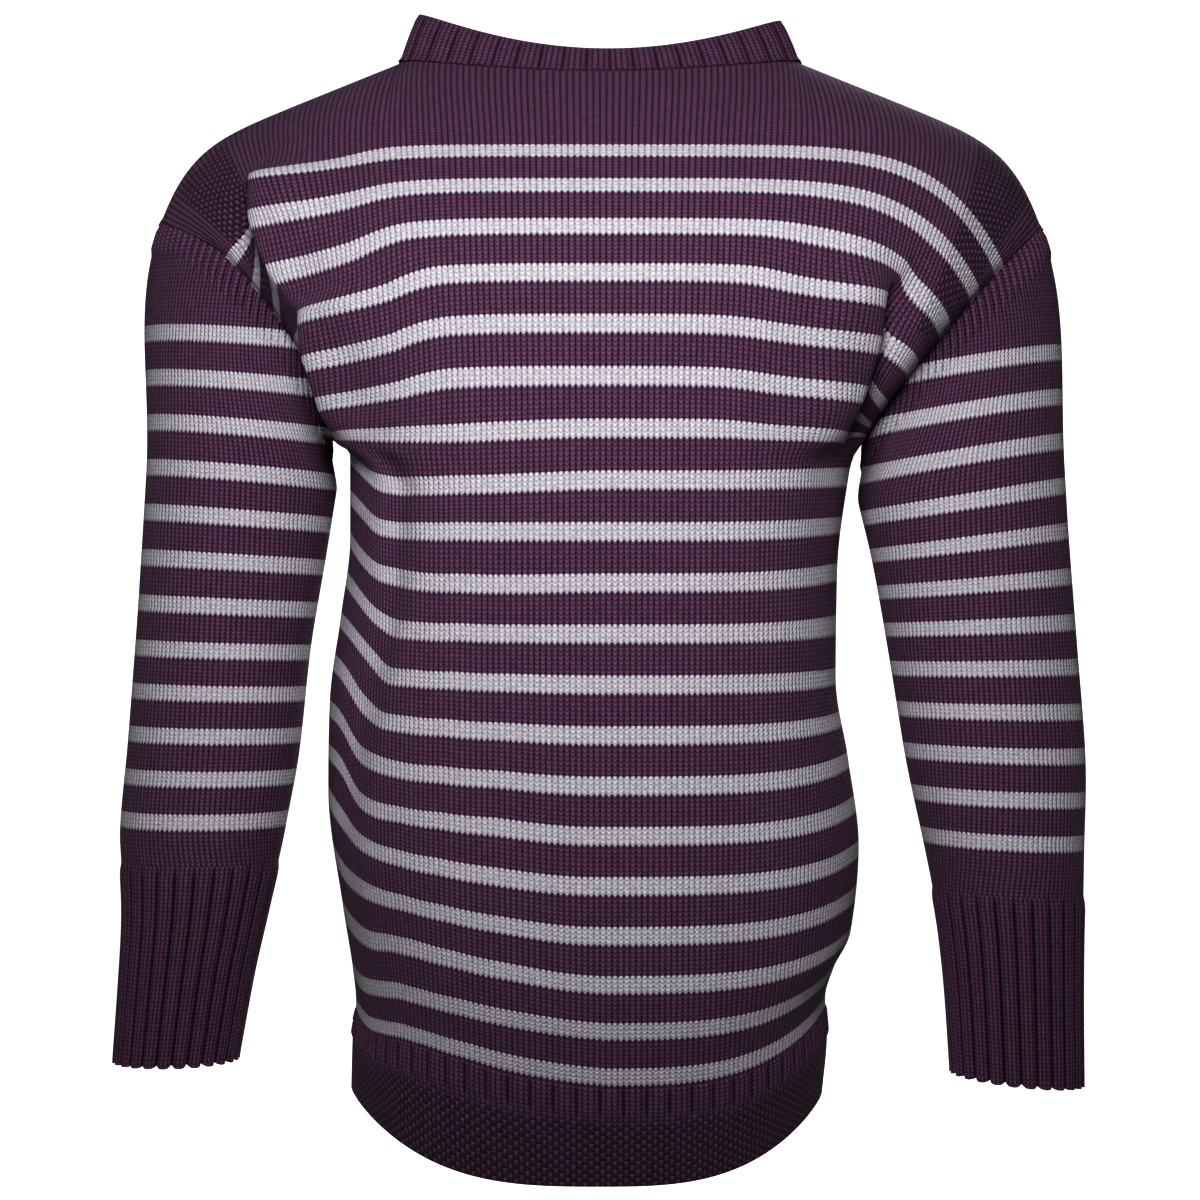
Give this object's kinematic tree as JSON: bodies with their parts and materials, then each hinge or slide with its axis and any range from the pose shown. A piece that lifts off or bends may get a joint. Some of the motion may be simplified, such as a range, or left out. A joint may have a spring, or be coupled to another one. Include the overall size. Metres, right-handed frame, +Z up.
{
  "type": "guernsey fisherman sweater",
  "caption": "Long-sleeved knitted pullover in worn form, with a stand-up ribbed neck, drop shoulders, ribbed cuffs and a vented welt; hollow, with light stripes on dark wool.",
  "frame": {"origin": "where the shoulders carry the sweater: on its middle line, level with the two ends of the neckband's seam", "axes": "+Z up, +X to the right as seen from the front, the front faces -Y"},
  "size_m": [0.6206, 0.257, 0.745],
  "materials": {
    "body_knit": "plain knitted worsted wool, dark aubergine with light grey marl stripes",
    "rib_knit": "ribbed and garter-stitch worsted wool, dark aubergine"
  },
  "bodies": {
    "root": {"front": "body_knit", "back": "body_knit", "sleeve_left": "body_knit", "sleeve_right": "body_knit", "welt_front": "rib_knit", "welt_back": "rib_knit", "cuff_left": "rib_knit", "cuff_right": "rib_knit", "neckband": "rib_knit"}
  },
  "joints": []
}
